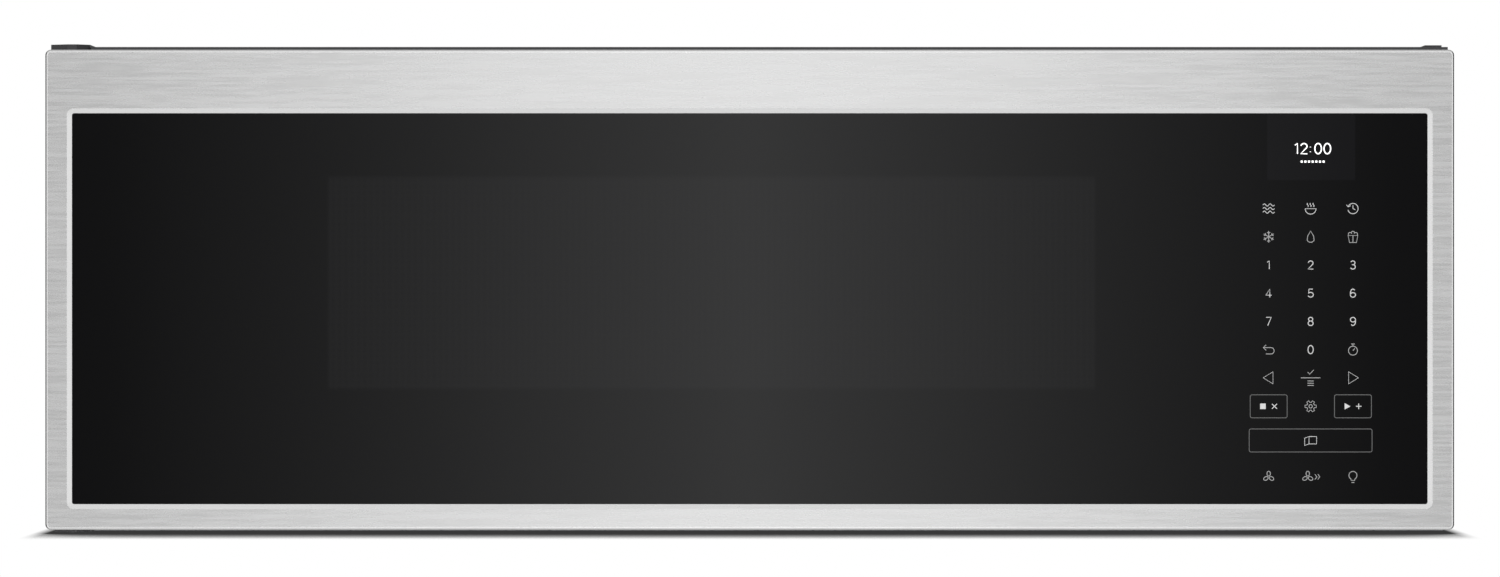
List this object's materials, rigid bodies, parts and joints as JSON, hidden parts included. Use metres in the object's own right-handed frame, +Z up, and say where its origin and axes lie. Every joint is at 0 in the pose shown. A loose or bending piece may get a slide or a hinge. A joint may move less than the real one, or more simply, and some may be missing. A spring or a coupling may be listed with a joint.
{
  "type": "over-the-range microwave",
  "caption": "Low over-the-range microwave hood with a full-width black glass door, touch controls, turntable, grease filters and a rear blower with a roof duct.",
  "frame": {"origin": "under the middle of the cabinet, on the plane of its base", "axes": "+X to the right seen from the front, +Y to the wall, +Z up"},
  "size_m": [0.7588, 0.47, 0.275],
  "materials": {
    "stainless": "horizontal brushed grain",
    "black_glass": "polished, printed black behind",
    "clear_glass": "polished",
    "black_plastic": "fine moulded texture",
    "grey_plastic": "moulded",
    "white_plastic": "moulded",
    "black_paint": "satin powder coat",
    "grey_enamel": "speckled enamel",
    "zinc_steel": "zinc plated",
    "filter_mesh": "expanded mesh",
    "carbon": "pleated carbon pad",
    "circuit_board": "solder mask",
    "display_black": "polished",
    "copper_coil": "varnished wire",
    "core_iron": "varnished plates",
    "mica": "pressed mica",
    "spring_wire": "drawn wire",
    "bush_plastic": "acetal",
    "lamp_glass": "frosted",
    "tray_glass": "pressed"
  },
  "bodies": {
    "cabinet": {"outer_wrap": "black_paint", "front_plate": "grey_enamel", "rear_panel": "zinc_steel", "base_plate": "black_paint", "bay_divider": "zinc_steel", "wall_plate": "zinc_steel", "cord_gland": "black_plastic", "cabinet_screws": "zinc_steel", "upper_hinge": "black_paint", "lower_hinge": "black_paint", "vent_grille": "black_plastic", "charcoal_filter": "carbon", "duct_collar": "zinc_steel", "blower_housing": "zinc_steel", "blower_motor": "core_iron", "cooktop_lamps": "zinc_steel", "lamp_lenses": "lamp_glass", "oven_cavity": "grey_enamel", "waveguide": "zinc_steel", "waveguide_cover": "mica", "magnetron": "zinc_steel", "transformer_core": "core_iron", "transformer_coils": "copper_coil", "capacitor": "filter_mesh", "cooling_fan_shroud": "zinc_steel", "cooling_fan_motor": "core_iron", "power_board": "circuit_board", "cavity_lamp": "zinc_steel", "turntable_motor": "zinc_steel", "latch_board": "white_plastic", "interlock_switches": "black_plastic", "opener_solenoid": "core_iron"},
    "door": {"door_frame": "stainless", "door_glass": "black_glass", "touch_board": "circuit_board", "display_module": "display_black", "control_carrier": "black_plastic", "choke_panel": "grey_enamel", "window_screen": "black_paint", "inner_window": "clear_glass", "choke_cover": "black_plastic", "door_screws": "zinc_steel", "hinge_bushes": "bush_plastic", "latch_spring": "spring_wire"},
    "latch": {"latch_hooks": "white_plastic"},
    "opener": {"opener_plunger": "zinc_steel"},
    "damper": {"damper_flap": "zinc_steel"},
    "blower": {"blower_shaft": "zinc_steel", "blower_wheels": "grey_plastic"},
    "cooling_fan": {"cooling_fan_blade": "grey_plastic"},
    "filter_left": {"grease_filter_left": "filter_mesh"},
    "filter_right": {"grease_filter_right": "filter_mesh"},
    "turntable": {"turntable_shaft": "zinc_steel", "turntable_coupler": "bush_plastic"},
    "tray": {"glass_tray": "tray_glass"},
    "rollers": {"roller_ring": "bush_plastic"},
    "wheel_1": {"roller_wheel_1": "bush_plastic"},
    "wheel_2": {"roller_wheel_2": "bush_plastic"},
    "wheel_3": {"roller_wheel_3": "bush_plastic"}
  },
  "joints": [
    {"name": "door_swing", "type": "hinge", "parent": "cabinet", "child": "door", "pos_m": [-0.3694, -0.205, 0.131], "axis": [0, 0, -1], "range_deg": [0, 100]},
    {"name": "opener_lift", "type": "slide", "parent": "cabinet", "child": "opener", "axis": [0, 0, 1], "range_m": [0, 0.004]},
    {"name": "latch_lift", "type": "slide", "parent": "door", "child": "latch", "axis": [0, 0, 1], "range_m": [0, 0.004], "stiffness_N_per_m": 200, "springref_m": -0.004, "deforming": ["latch_spring"]},
    {"name": "damper_swing", "type": "hinge", "parent": "cabinet", "child": "damper", "pos_m": [0, 0.21755, 0.2681], "axis": [-1, 0, 0], "range_deg": [0, 75]},
    {"name": "blower_spin", "type": "hinge", "parent": "cabinet", "child": "blower", "pos_m": [0, 0.186, 0.15], "axis": [1, 0, 0], "continuous": true},
    {"name": "cooling_fan_spin", "type": "hinge", "parent": "cabinet", "child": "cooling_fan", "pos_m": [0.3142, 0.16, 0.11], "axis": [0, 1, 0], "continuous": true},
    {"name": "filter_left_drop", "type": "hinge", "parent": "cabinet", "child": "filter_left", "pos_m": [-0.1606, 0.055, 0.0046], "axis": [1, 0, 0], "range_deg": [0, 80]},
    {"name": "filter_right_drop", "type": "hinge", "parent": "cabinet", "child": "filter_right", "pos_m": [0.1194, 0.055, 0.0046], "axis": [1, 0, 0], "range_deg": [0, 80]},
    {"name": "turntable_spin", "type": "hinge", "parent": "cabinet", "child": "turntable", "pos_m": [-0.0206, -0.0238, 0.05], "axis": [0, 0, 1], "continuous": true},
    {"name": "tray_lift", "type": "slide", "parent": "turntable", "child": "tray", "axis": [0, 0, 1], "range_m": [0, 0.06]},
    {"name": "roller_ring_spin", "type": "hinge", "parent": "cabinet", "child": "rollers", "pos_m": [-0.0206, -0.0238, 0.0498], "axis": [0, 0, 1], "continuous": true},
    {"name": "wheel_1_spin", "type": "hinge", "parent": "rollers", "child": "wheel_1", "pos_m": [-0.0206, 0.0712, 0.0498], "axis": [0, 1, 0], "continuous": true},
    {"name": "wheel_2_spin", "type": "hinge", "parent": "rollers", "child": "wheel_2", "pos_m": [-0.10287, -0.0713, 0.0498], "axis": [-0.866, -0.5, 0], "continuous": true},
    {"name": "wheel_3_spin", "type": "hinge", "parent": "rollers", "child": "wheel_3", "pos_m": [0.06167, -0.0713, 0.0498], "axis": [0.866, -0.5, 0], "continuous": true}
  ],
  "couplings": [
    {"joint": "latch_lift", "follows": "opener_lift", "ratio": 1},
    {"joint": "roller_ring_spin", "follows": "turntable_spin", "ratio": 0.5},
    {"joint": "wheel_1_spin", "follows": "turntable_spin", "ratio": -6.3333},
    {"joint": "wheel_2_spin", "follows": "turntable_spin", "ratio": -6.3333},
    {"joint": "wheel_3_spin", "follows": "turntable_spin", "ratio": -6.3333}
  ]
}
